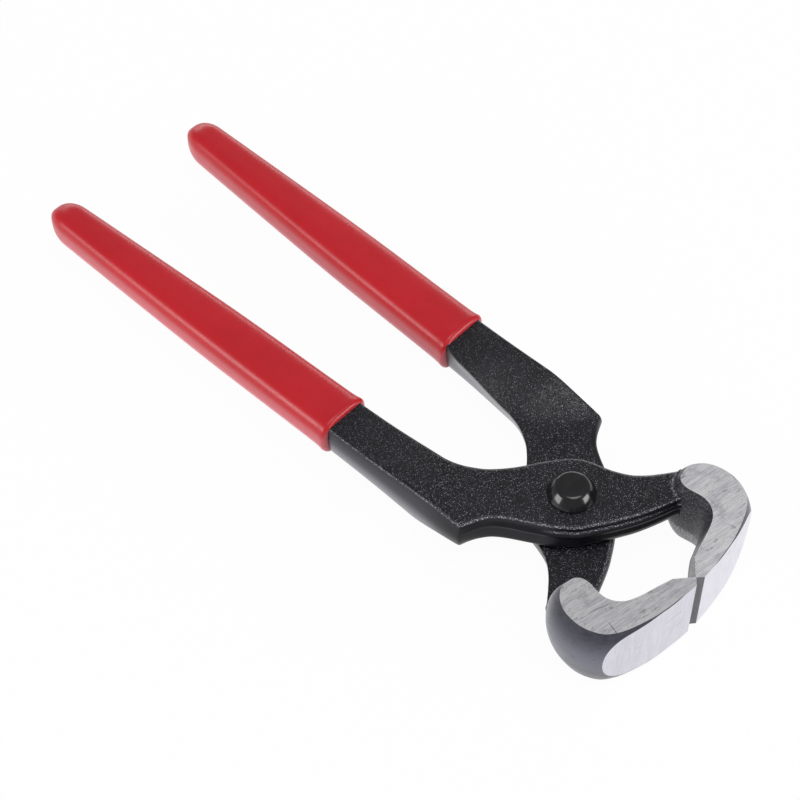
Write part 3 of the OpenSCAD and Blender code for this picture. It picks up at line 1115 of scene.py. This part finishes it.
    def side_curve(self, x: float, outer: bool) -> list[Row]:
        """Gives a side's profile at x, as depth share and swell in millimetres.

        Args:
            x: Where the side is.
            outer: Whether it is the side by the notch and the throat.

        Returns:
            The smooth profile, from the outer face to the inner face.
        """
        lift = self.level(x)
        if outer:
            turn = ease((x + self.level_end) / self.notch_turn)
            near, far, bulge = self.spur_side, self.notch_side, self.side_bulge + self.inset(x)
            handle = self.handle_side
        else:
            turn = 0.0
            near, far, bulge = self.crotch_side, self.crotch_side, self.side_bulge
            full = ease((x + self.level_start + self.full_run) / self.full_run)
            handle = [
                tuple(mix(a, b, full) for a, b in zip(*pair))
                for pair in zip(self.handle_side, self.full_side)
            ]
        rows = [
            tuple(
                mix(plain[k] * at_handle, mix(spur[k], notch[k], turn) * at_joint, lift)
                for k, (at_handle, at_joint) in enumerate(((1.0, 1.0), (self.handle_bulge, bulge)))
            )
            for plain, spur, notch in zip(handle, near, far)
        ]
        return smooth_rows(rows, PROFILE_STEPS)

    def side(self, base: Vector, way: Vector, thick: float, outer: bool) -> list[Vector]:
        """Draws one side from the top face to the underside, its corners rounded.

        Args:
            base: The edge point of the face.
            way: The direction from it across the bar.
            thick: Thickness of the handle there.
            outer: Whether it is the side by the notch and the throat.

        Returns:
            The points of the side.
        """
        top = mix(thick / 2, self.plate_top, self.level(base.x))
        under = self.under(base.x, thick, outer)
        curve = self.side_curve(base.x, outer)
        flash, foot_round, foot_share = 0.0, self.crisp_round, 0.0
        if outer:
            flash = self.flash_h * ease((base.x + self.flash_start) / self.flash_run)
            foot_share = ease(base.x / self.foot_run)
            foot_round = mix(self.edge_round, self.throat_round, foot_share)
        deep = top - under
        ridge_at, ridge_w = self.ridge
        hollow_up, hollow_w = self.hollow
        body = []
        for k in range(self.side_steps + 1):
            depth = mix(self.edge_round / deep, 1 - foot_round / deep, k / self.side_steps)
            ridge = math.exp(-(((depth - ridge_at) / ridge_w) ** 2))
            hollow = math.exp(-(((depth - ridge_at + hollow_up) / hollow_w) ** 2))
            swell = flash * (ridge - self.hollow_share * hollow)
            body.append((read_off(curve, depth) + swell, depth))
        foot = mix(curve[-1][1], body[-1][0], foot_share)
        points = rounded((-self.edge_round, 0.0), (0.0, 0.0), body[0])
        points += body[1:-1]
        points += rounded(body[-1], (foot, 1.0), (foot - foot_round, 1.0))
        return [Vector((*(base - way * u), mix(top, under, d))) for u, d in points]

    def section(self, rung: Row, thick: float) -> list[Vector]:
        """Draws one closed section across a pair of facing edge points.

        Args:
            rung: Outer x, outer y, inner x, inner y.
            thick: Thickness of the handle there.

        Returns:
            The points around the section.
        """
        outer, inner = Vector(rung[:2]), Vector(rung[2:])
        across = (inner - outer).normalized()
        left = self.side(outer + across * self.inset(outer.x), across, thick, True)
        right = self.side(inner, -across, thick, False)
        under, over = self.between(left[-1], right[-1]), self.between(right[0], left[0])
        return left + under + right[::-1] + over

    def between(self, a: Vector, b: Vector) -> list[Vector]:
        """Lists evenly spaced points between two points, both left out."""
        return [a.lerp(b, k / (self.cap_points + 1)) for k in range(1, self.cap_points + 1)]

    def bar(self) -> bpy.types.Object:
        """Makes the handle, joint plate and arm as one bar.

        Returns:
            The closed bar.
        """
        sections = [self.section(row, thick) for row, thick in self.rungs()]
        bm = bmesh.new()
        wrapped_sheet(bm, len(sections[0]), len(sections), lambda c, r: sections[r][c])
        cap_ends(bm)
        bmesh.ops.recalc_face_normals(bm, faces=bm.faces)
        return mesh_object(bm, "bar")

    def outline(self) -> list[Row]:
        """Lists the smooth outline of a ground side face, with the swell at each point."""
        rows = scaled(self.jaw, self.jaw_reach, self.jaw_spread, self.jaw_bulge)
        return smooth_rows(rows, self.curve_steps)

    def jaw_blank(self) -> bpy.types.Object:
        """Makes the swelling jaw before its front and its edge are ground.

        Returns:
            The closed blank.
        """
        outline = self.outline()
        last = len(outline) - 1
        points = []
        for i, row in enumerate(outline):
            a, b = outline[max(i - 1, 0)], outline[min(i + 1, last)]
            way = Vector((b[1] - a[1], a[0] - b[0])).normalized()
            points.append((Vector(row[:2]), way, row[2]))

        def place(column: int, row: int) -> Vector:
            """Gives a point of the blank: layers lie closer together near the side faces.

            Args:
                column: The point's number on the outline.
                row: The layer's number.

            Returns:
                The point.
            """
            s = math.sin((row / (self.jaw_layers - 1) - 0.5) * math.pi)
            point, way, swell = points[column]
            return Vector((*(point + way * swell * (1 - s * s)), s * self.jaw_half))

        bm = bmesh.new()
        for face in wrapped_sheet(bm, len(outline), self.jaw_layers, place):
            face.material_index = Surface.BARREL.value
        for face in cap_ends(bm):
            face.material_index = Surface.GROUND_FACE.value
        self.mark_hook(bm, outline)
        bmesh.ops.recalc_face_normals(bm, faces=bm.faces)
        return self.with_slots(mesh_object(bm, "jaw"))

    def mark_hook(self, bm: bmesh.types.BMesh, outline: list[Row]) -> None:
        """Marks the faces inside the hook, by the outline point that they lie nearest to.

        Args:
            bm: The jaw's mesh.
            outline: The smooth outline of a ground side face.
        """
        turn = self.back_row * self.curve_steps
        for face in bm.faces:
            if face.material_index != Surface.BARREL.value:
                continue
            middle = face.calc_center_median()
            nearest = min(
                range(0, len(outline), 2),
                key=lambda i: (outline[i][0] - middle.x) ** 2 + (outline[i][1] - middle.y) ** 2,
            )
            if nearest > turn:
                face.material_index = Surface.HOOK.value

    def with_slots(self, obj: bpy.types.Object) -> bpy.types.Object:
        """Gives a part of the forging one material slot for each kind of surface.

        Args:
            obj: The part.

        Returns:
            The same part.
        """
        for surface in Surface:
            obj.data.materials.append(self.finishes[surface])
        return obj

    def ground_block(self) -> bpy.types.Object:
        """Makes the block that grinding leaves: front, chamfer, cutting edge and inner bevel.

        Returns:
            The closed block, which the jaw is cut with.
        """
        edge_x = self.jaw_reach - self.edge_setback
        edge_y = self.edge_gap / 2
        run = self.bevel_depth + 2 * self.jaw_bulge
        bevel_y = edge_y + run * math.tan(math.radians(self.bevel_deg))
        size = (self.jaw_reach, self.jaw_spread)
        front = smooth_rows(scaled(self.front, *size), self.curve_steps)
        far = 2 * self.jaw_spread
        plan = [
            (edge_x - self.edge_land / 2, edge_y),
            (edge_x + self.edge_land / 2, edge_y),
            (self.jaw_reach, self.tip_chamfer),
            *front,
            (front[-1][0], far),
            (0.0, far),
            (0.0, bevel_y),
            (edge_x - run, bevel_y),
        ]
        bm = bmesh.new()
        low = -self.jaw_half - self.block_over
        verts = [bm.verts.new((x, y, low)) for x, y in plan]
        edges = [bm.edges.new(pair) for pair in zip(verts, verts[1:] + verts[:1])]
        base = bmesh.ops.edgeloop_fill(bm, edges=edges)["faces"]
        walls = bmesh.ops.extrude_face_region(bm, geom=base)["geom"]
        top = [item for item in walls if isinstance(item, bmesh.types.BMVert)]
        bmesh.ops.translate(bm, verts=top, vec=(0, 0, self.jaw_w + 2 * self.block_over))
        bmesh.ops.recalc_face_normals(bm, faces=bm.faces)
        for face in bm.faces:
            middle = face.calc_center_median()
            if middle.y > self.tip_chamfer and face.normal.x > self.facing:
                face.material_index = Surface.GROUND_FRONT.value
            elif face.normal.x < -self.facing:
                face.material_index = Surface.HOOK.value
            else:
                face.material_index = Surface.CHAMFER.value
        return self.with_slots(mesh_object(bm, "ground"))

    def fillet_bar(self, bar: bpy.types.Object, jaw: bpy.types.Object) -> None:
        """Flares the arm where it runs into the jaw, as the forging die does.

        Args:
            bar: The arm's bar, whose points are moved.
            jaw: The jaw that it runs into.
        """
        graph = bpy.context.evaluated_depsgraph_get()
        tree = BVHTree.FromObject(jaw, graph)
        bm = bmesh.new()
        bm.from_mesh(bar.data)
        bm.normal_update()
        moves = []
        for vert in bm.verts:
            if vert.co.x < self.joint_r:
                continue
            point, normal, _, distance = tree.find_nearest(vert.co)
            if point is None:
                continue
            outside = (vert.co - point).dot(normal) > 0
            signed = distance if outside else -distance
            if signed >= self.fillet_r or signed < -self.fillet_r:
                continue
            share = clamp(signed / self.fillet_r)
            rise = self.fillet_r * (1 - math.sqrt(max(1 - (1 - share) ** 2, 0.0)))
            rise *= 1 - ease(-signed / self.fillet_r)
            spread = self.fillet_spread
            way = Vector((vert.normal.x * spread, vert.normal.y * spread, vert.normal.z))
            moves.append((vert, way * rise))
        for vert, move in moves:
            if vert.co.z + move.z > self.plate_z + self.mating_clear or move.z >= 0:
                vert.co += move
        bm.to_mesh(bar.data)
        bm.free()

    def build(self) -> bpy.types.Object:
        """Makes the whole forging, with its rivet hole, as one closed mesh.

        Returns:
            The lever.
        """
        jaw = self.jaw_blank()
        combine(jaw, self.ground_block(), Cut.KEEP_COMMON)
        bar = self.with_slots(self.bar())
        self.fillet_bar(bar, jaw)
        combine(bar, jaw, Cut.JOIN)
        bm = bmesh.new()
        bmesh.ops.create_cone(
            bm, cap_ends=True, segments=self.hole_sides, radius1=self.hole_d / 2,
            radius2=self.hole_d / 2, depth=3 * self.plate_t,
        )
        combine(bar, self.with_slots(mesh_object(bm, "hole")), Cut.REMOVE)
        return bar


@dataclass
class Rivet:
    """Rivet with a chamfered head above and one below."""

    shank_d: float = 7.4
    head_d: float = 11.8
    flat_d: float = 7.6
    head_h: float = 3.5
    rim_h: float = 0.5
    plate_top: float = 6.83
    flat_round: float = 0.7
    cone_round: float = 1.2
    cone_swell: float = 0.16
    edge_round: float = 0.3
    round_share: float = 0.45
    round_points: int = 7
    sides: int = 128
    weld: float = 1e-4

    def profile(self) -> list[Vector]:
        """Draws half of the rivet's profile, from the axis at the top down to its middle.

        Returns:
            The points of the profile, with its corners rounded.
        """
        top, rim = self.plate_top + self.head_h, self.plate_top + self.rim_h
        flat, head, shank = self.flat_d / 2, self.head_d / 2, self.shank_d / 2
        swell = self.cone_swell
        belly = (mix(flat, head, 0.5) + swell, mix(top, rim, 0.5) + swell / 2)
        corners = [Vector(corner) for corner in ((0.0, top), (flat, top), belly, (head, rim))]
        corners += [Vector((x, self.plate_top)) for x in (head, shank)] + [Vector((shank, 0.0))]
        rounds = (self.flat_round, self.cone_round) + (self.edge_round,) * 3
        points = [corners[0]]
        for a, b, c, size in zip(corners, corners[1:], corners[2:], rounds):
            before, after = a - b, c - b
            reach = min(size, *(way.length * self.round_share for way in (before, after)))
            start, end = b + before.normalized() * reach, b + after.normalized() * reach
            points += rounded(start, b, end, self.round_points)
        return [Vector((r, 0, z)) for r, z in points + [corners[-1]]]

    def build(self) -> bpy.types.Object:
        """Spins the profile, mirrors it below, and closes it.

        Returns:
            The rivet.
        """
        bm = bmesh.new()
        verts = [bm.verts.new(point) for point in self.profile()]
        edges = [bm.edges.new(pair) for pair in zip(verts, verts[1:])]
        bmesh.ops.spin(
            bm, geom=verts + edges, axis=(0, 0, 1), cent=(0, 0, 0), dvec=(0, 0, 0),
            angle=2 * math.pi, steps=self.sides, use_merge=True, use_duplicate=False,
        )
        geom = bm.verts[:] + bm.edges[:] + bm.faces[:]
        bmesh.ops.mirror(bm, geom=geom, axis="Z", merge_dist=self.weld)
        bmesh.ops.remove_doubles(bm, verts=bm.verts, dist=self.weld)
        bmesh.ops.recalc_face_normals(bm, faces=bm.faces)
        return mesh_object(bm, "rivet")


@dataclass
class Grip:
    """Dipped sleeve on a forging's handle, closed at its end."""

    forging: Forging
    length: float
    wall: float = 1.75
    mouth_wall: float = 1.3
    dome: float = 7.5
    lip: float = 0.6
    lip_bead: float = 0.22
    bead_from: float = 3.2
    bead_run: float = 2.0
    power: float = 3.2
    around: int = 96
    body_rows: int = 70
    dome_rows: int = 14
    lip_rows: int = 8
    inner_rows: int = 30
    halvings: int = 24
    fit: float = 0.02

    def outer(self, x: float, wall: float, share: float, angle: float) -> Vector:
        """Gives a point of the sleeve's skin.

        Args:
            x: Where along the sleeve.
            wall: The sleeve's wall there.
            share: How far the closed end has opened, from 0 to 1.
            angle: The way round.

        Returns:
            The point.
        """
        f = self.forging
        t = f.tang_share(x)
        half_w = (f.tang_half_w(t) + f.handle_bulge + wall) * share
        half_t = (f.tang_t(t) / 2 + wall) * share
        c, s = math.cos(angle), math.sin(angle)
        fill = (abs(c) ** self.power + abs(s) ** self.power) ** (-1 / self.power)
        return Vector((x, f.tang_y(t) + half_w * c * fill, half_t * s * fill))

    def inner(self, x: float, angle: float) -> Vector:
        """Gives a point of the sleeve's inside, which hugs the handle's section.

        Args:
            x: Where along the sleeve.
            angle: The way round.

        Returns:
            The point.
        """
        f = self.forging
        t = f.tang_share(x)
        half_w, half_t = f.tang_half_w(t), f.tang_t(t) / 2
        c, s = abs(math.cos(angle)), abs(math.sin(angle))
        curve = smooth_rows(f.handle_side, PROFILE_STEPS)
        low, high = 0.0, half_w + half_t + f.handle_bulge
        for _ in range(self.halvings):
            reach = (low + high) / 2
            y, z = reach * c, reach * s
            inside = z < half_t and y < half_w + f.handle_bulge * read_off(
                curve, clamp((half_t - z) / (2 * half_t))
            )
            low, high = (reach, high) if inside else (low, reach)
        reach = low + self.fit
        return Vector((x, f.tang_y(t) + reach * math.cos(angle), reach * math.sin(angle)))

    def lip_point(self, x: float, share: float, angle: float) -> Vector:
        """Gives a point of the rolled lip, by its share of the way from the skin to the handle."""
        skin = self.outer(x, self.mouth_wall + self.lip_bead, 1.0, angle)
        return skin.lerp(self.inner(x, angle), share)

    def build(self) -> bpy.types.Object:
        """Wraps one sheet over the end, along the skin, round the lip and back inside.

        Returns:
            The closed sleeve.
        """
        f = self.forging
        mouth, tip = self.length - f.reach, -f.reach
        dome_x = tip + self.dome
        stations: list[Callable[[float], Vector]] = []
        for k in range(self.dome_rows):
            a = math.pi / 2 * (1 - k / self.dome_rows)
            x, share = dome_x - self.dome * math.sin(a), math.cos(a)
            stations.append(lambda angle, x=x, share=share: self.outer(x, self.wall, share, angle))
        for k in range(self.body_rows + 1):
            t = k / self.body_rows
            x = mix(dome_x, mouth - 2 * self.lip, t)
            wall = mix(self.mouth_wall, self.wall, ease(2 * (1 - t)))
            wall += self.lip_bead * ease((x - (mouth - self.bead_from)) / self.bead_run)
            stations.append(lambda angle, x=x, wall=wall: self.outer(x, wall, 1.0, angle))
        for k in range(1, self.lip_rows + 1):
            a = math.pi / 2 * k / self.lip_rows
            x = mouth - 2 * self.lip + 2 * self.lip * math.sin(a)
            share = 1 - math.cos(a)
            stations.append(lambda angle, x=x, share=share: self.lip_point(x, share, angle))
        end = -(f.reach - f.grip_end_wall) - self.fit
        for k in range(1, self.inner_rows + 1):
            x = mix(mouth, end, k / self.inner_rows)
            stations.append(lambda angle, x=x: self.inner(x, angle))
        angles = [2 * math.pi * k / self.around for k in range(self.around)]
        rings = [[station(angle) for angle in angles] for station in stations]
        bm = bmesh.new()
        wrapped_sheet(bm, self.around, len(rings), lambda c, r: rings[r][c])
        cap_ends(bm)
        bmesh.ops.recalc_face_normals(bm, faces=bm.faces)
        return mesh_object(bm, "grip")


# ---------------------------------------------------------------- the tool


@dataclass
class Nippers:
    """The whole tool, put into the frame."""

    pivot_x: float = 61.1
    base_z: float = 10.4
    upper_reach: float = 160.6
    lower_reach: float = 155.6
    upper_grip_len: float = 104.8
    lower_grip_len: float = 103.4
    shank_d: float = 7.4
    running_fit: float = 0.05
    lever_crease: float = 32.0
    rivet_crease: float = 50.0
    grip_crease: float = 60.0

    def place(self, turned: bool) -> Matrix:
        """Gives the way from a piece's own millimetres to the frame, turned over or not.

        Args:
            turned: Whether the piece is turned over.

        Returns:
            The matrix.
        """
        turn = Matrix.Rotation(math.pi if turned else 0.0, 4, "X")
        move = Matrix.Translation(Vector((self.pivot_x, 0, self.base_z)) * MILLIMETRE)
        return move @ Matrix.Scale(MILLIMETRE, 4) @ turn

    def dress(
        self, obj: bpy.types.Object, node: str, body: str, crease_deg: float
    ) -> None:
        """Finishes a piece, hides the node that it stands for, and lets it ride.

        Args:
            obj: The piece.
            node: The CAD node that it replaces.
            body: The body that it rides on.
            crease_deg: Edges sharper than this stay crisp.
        """
        obj.name = f"{node}_dressed"
        finish_mesh(obj, self.place(body == "lower"), crease_deg)
        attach(obj, body)
        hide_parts(node)
        log.info("%s: %d faces, rides on %s", obj.name, len(obj.data.polygons), body)

    def build(self) -> None:
        """Builds and dresses the two levers, the rivet and the two grips."""
        finishes = {
            Surface.COATED: SpeckledCoat().make(),
            Surface.GROUND_FACE: GroundSteel(
                "ground_side", (1.0, 0.99, 1.0), (0.58, 0.57, 0.62), 0.38, (6.5, 0.35, 6.5),
                turn_deg=10.0, lower_shade=0.2, stain=0.55,
            ).make(),
            Surface.GROUND_FRONT: GroundSteel(
                "satin_front", (0.76, 0.75, 0.81), (0.70, 0.69, 0.75), 0.5, (1.4, 1.4, 0.2),
                mark_mm=0.004, smudge=0.12, nick=0.35, lower_shade=0.08, stain=0.06,
            ).make(),
            Surface.CHAMFER: GroundSteel(
                "polished_chamfer", (0.15, 0.15, 0.16), (0.12, 0.12, 0.13), 0.3, (2.0, 2.0, 0.2),
                mark_mm=0.003, smudge=0.1,
            ).make(),
            # Painted shade: the polished barrel's steel is set near black, for the jaw's shadowed
            # floor that it mirrors.
            Surface.BARREL: GroundSteel(
                "polished_barrel_painted_shade", (0.075, 0.075, 0.095), (0.055, 0.055, 0.07), 0.3,
                (0.5, 0.5, 1.2), mark_mm=0.004, smudge=0.3, middle_reflection=(0.175, 0.175, 0.21),
            ).make(),
            Surface.HOOK: HookScale(pivot_mm=self.pivot_x).make(),
        }
        plastic = DippedPlastic().make()
        loose = self.shank_d + 2 * self.running_fit
        for body, reach, length, hole_d in (
            ("upper", self.upper_reach, self.upper_grip_len, self.shank_d),
            ("lower", self.lower_reach, self.lower_grip_len, loose),
        ):
            forging = Forging(reach, hole_d, finishes)
            self.dress(forging.build(), f"{body}_lever", body, self.lever_crease)
            grip = Grip(forging, length).build()
            grip.data.materials.append(plastic)
            self.dress(grip, f"{body}_grip", body, self.grip_crease)
        rivet = Rivet(shank_d=self.shank_d).build()
        rivet.data.materials.append(GlossBlack().make())
        self.dress(rivet, "pivot_rivet", "upper", self.rivet_crease)


# ---------------------------------------------------------------- studio


@dataclass(frozen=True)
class Softbox:
    """A soft rectangular lamp."""

    name: str
    place: Row
    size: Span
    watts: float
    aim: Row = (0.03, 0.0, 0.01)

    def make(self) -> None:
        """Hangs the lamp and turns it to its aim."""
        data = bpy.data.lights.new(self.name, "AREA")
        data.shape = "RECTANGLE"
        data.size, data.size_y = self.size
        data.energy = self.watts
        lamp = bpy.data.objects.new(self.name, data)
        lamp.location = self.place
        lamp.rotation_mode = "QUATERNION"
        lamp.rotation_quaternion = (Vector(self.aim) - Vector(self.place)).to_track_quat("-Z", "Y")
        bpy.context.scene.collection.objects.link(lamp)


@dataclass
class Studio:
    """Camera, pale floor and soft lights."""

    camera_at: Row = (0.2267, -0.2248, 0.4337)
    azimuth_rad: float = 0.7925
    elevation_rad: float = 0.9395
    roll_rad: float = -0.0208
    focal_px: float = 2122.87
    image_px: float = 800.0
    sensor_mm: float = 36.0
    clip_start: float = 0.01
    floor_half: float = 4.0
    floor_sides: int = 96
    floor_grey: float = 0.86
    floor_white_share: float = 0.96
    world_grey: float = 0.42

    def camera(self) -> None:
        """Sets the camera at the photograph's angle."""
        az, el, roll = self.azimuth_rad, self.elevation_rad, self.roll_rad
        back = Vector((math.cos(el) * math.cos(az), -math.cos(el) * math.sin(az), math.sin(el)))
        level = Vector((math.sin(az), math.cos(az), 0))
        rise = back.cross(level)
        right = level * math.cos(roll) + rise * math.sin(roll)
        up = rise * math.cos(roll) - level * math.sin(roll)
        data = bpy.data.cameras.new("camera")
        data.sensor_width = self.sensor_mm
        data.lens = self.focal_px * self.sensor_mm / self.image_px
        data.clip_start = self.clip_start
        cam = bpy.data.objects.new("camera", data)
        turn = Matrix((right, up, back)).transposed().to_4x4()
        cam.matrix_world = Matrix.Translation(self.camera_at) @ turn
        bpy.context.scene.collection.objects.link(cam)
        bpy.context.scene.camera = cam

    def floor(self) -> None:
        """Lays the floor: seen and mirrored nearly white, and it keeps the tool's shadow."""
        bm = bmesh.new()
        bmesh.ops.create_circle(
            bm, cap_ends=True, segments=self.floor_sides, radius=self.floor_half
        )
        obj = mesh_object(bm, "floor")
        bench = NodeBench("pale_floor", "ShaderNodeMixShader")
        path = bench.add("ShaderNodeLightPath").outputs
        seen = bench.larger(path["Is Camera Ray"], path["Is Transmission Ray"])
        mirrored = bench.larger(seen, path["Is Glossy Ray"])
        diffuse = bench.add("ShaderNodeBsdfDiffuse", color=(self.floor_grey,) * 3 + (1,))
        glow = bench.add("ShaderNodeEmission", strength=1.0)
        share = bench.times(mirrored, self.floor_white_share)
        for k, source in enumerate((share, diffuse.outputs[0], glow.outputs[0])):
            bench.link(source, bench.shader.inputs[k])
        obj.data.materials.append(bench.material)

    def lights(self) -> None:
        """Sets the world and the softboxes."""
        world = bpy.data.worlds.new("studio")
        world.use_nodes = True
        background = world.node_tree.nodes["Background"]
        background.inputs["Color"].default_value = (self.world_grey,) * 3 + (1,)
        background.inputs["Strength"].default_value = 1.0
        bpy.context.scene.world = world
        for box in (
            Softbox("left_box", (-0.42, -1.00, 0.27), (0.6, 0.45), 6.0),
            Softbox("right_box", (1.05, 0.44, 0.27), (0.6, 0.45), 6.5),
            Softbox("back_box", (-0.85, 0.85, 0.24), (1.2, 0.3), 4.0),
            Softbox("top_box", (0.34, -0.02, 1.40), (0.8, 0.8), 7.5),
        ):
            box.make()

    def build(self) -> None:
        """Builds the camera, the floor and the lights."""
        self.camera()
        self.floor()
        self.lights()
        bpy.context.scene.view_settings.view_transform = "Standard"


def main() -> None:
    """Builds the studio and the tool in order."""
    logging.basicConfig(level=logging.INFO, format="%(name)s: %(message)s")
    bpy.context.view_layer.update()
    Studio().build()
    log.info("studio ready")
    Nippers().build()


if __name__ == "__main__":
    main()
